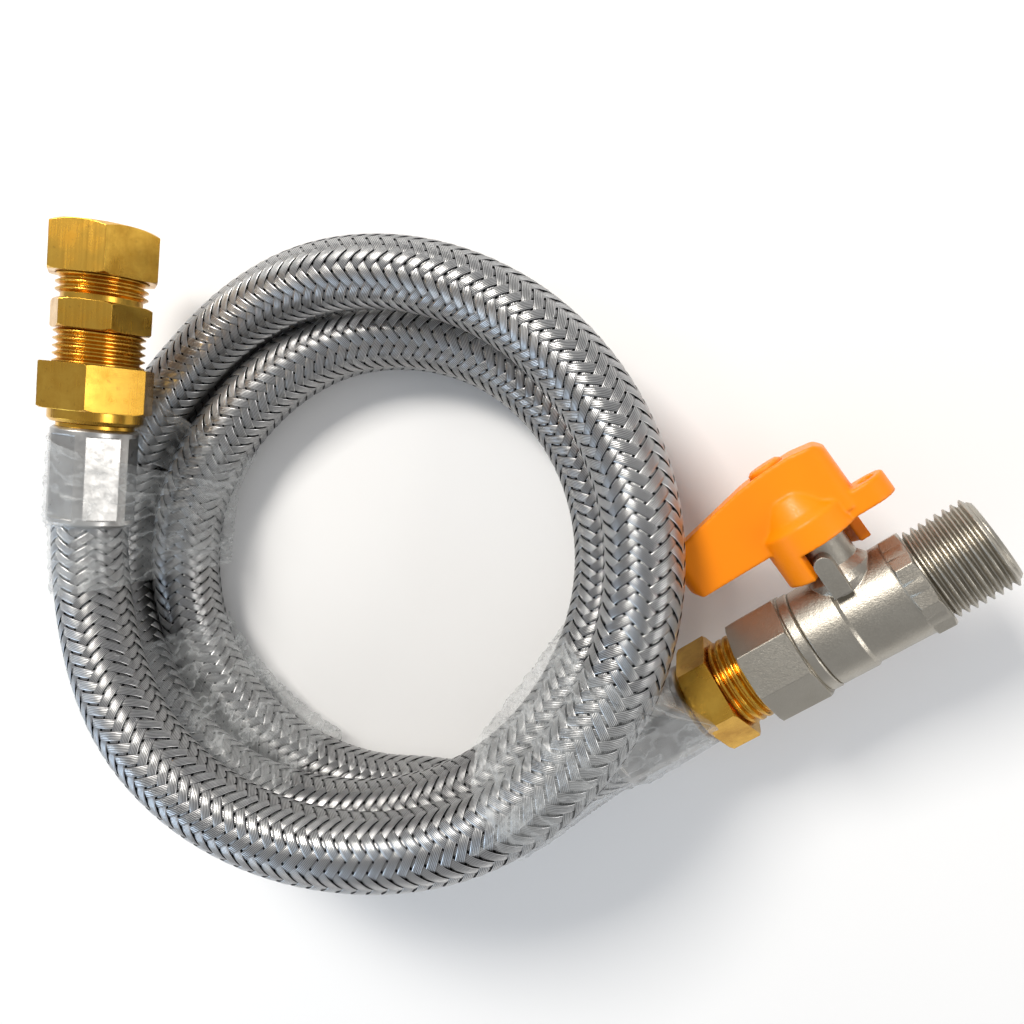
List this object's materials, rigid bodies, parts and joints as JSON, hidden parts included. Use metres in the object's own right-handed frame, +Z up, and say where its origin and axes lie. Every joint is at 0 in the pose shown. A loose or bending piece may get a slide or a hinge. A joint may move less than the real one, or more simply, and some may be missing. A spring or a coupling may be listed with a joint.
{
  "type": "coiled braided gas hose with ball valve",
  "caption": "Steel-braided gas hose wound in a flat coil, with a brass compression fitting at one end and a threaded ball valve with an orange lever at the other.",
  "frame": {"origin": "middle of the footprint on the surface that the coil lies on, with the hose itself left out of the measure", "axes": "+X from the coil towards the valve, +Y towards the compression fitting's open end, +Z up"},
  "size_m": [0.2347, 0.17, 0.0584],
  "materials": {
    "braided_hose": "bright steel wire braid over a rubber liner",
    "plated_steel": "zinc plated, satin",
    "brass": "machined, bright",
    "nickel_plate": "satin nickel over a sand-cast surface",
    "chromed_ball": "polished",
    "orange_plastic": "semi-gloss moulded",
    "liner_rubber": "matt",
    "seal_rubber": "matt",
    "fibre_washer": "matt pressed fibre",
    "ptfe": "matt white",
    "clear_film": "clear wrinkled packing film"
  },
  "bodies": {
    "root": {"hose_coil": "braided_hose", "hose_tail": "braided_hose", "ferrule_fitting": "plated_steel", "hose_end_fitting": "liner_rubber", "hose_spigot": "brass", "sealing_washer": "fibre_washer", "compression_body": "brass", "olive": "brass", "ferrule_valve": "plated_steel", "hose_end_valve": "liner_rubber", "hose_nipple": "brass", "valve_end_piece": "nickel_plate", "valve_body": "nickel_plate", "seat_inlet": "ptfe", "seat_outlet": "ptfe", "thrust_washer": "ptfe", "film_wrap_fitting": "clear_film", "film_wrap_lower": "clear_film", "film_wrap_valve": "clear_film"},
    "lever": {"lever_handle": "orange_plastic", "handle_screw": "plated_steel", "screw_cap": "orange_plastic", "stem": "brass", "stem_o_rings": "seal_rubber", "ball": "chromed_ball"},
    "swivel_nut": {"swivel_nut": "brass"},
    "compression_nut": {"compression_nut": "brass"}
  },
  "joints": [
    {"name": "lever_turn", "type": "hinge", "parent": "root", "child": "lever", "pos_m": [0.08808, -0.01345, 0.03027], "axis": [0.5793, -0.8151, 0], "range_deg": [0, 90]},
    {"name": "swivel_nut_turn", "type": "hinge", "parent": "root", "child": "swivel_nut", "pos_m": [-0.0957, 0.03688, 0.033], "axis": [0.1045, 0.9945, 0], "continuous": true},
    {"name": "compression_nut_turn", "type": "hinge", "parent": "root", "child": "compression_nut", "pos_m": [-0.09193, 0.07269, 0.033], "axis": [0.1045, 0.9945, 0], "continuous": true}
  ]
}
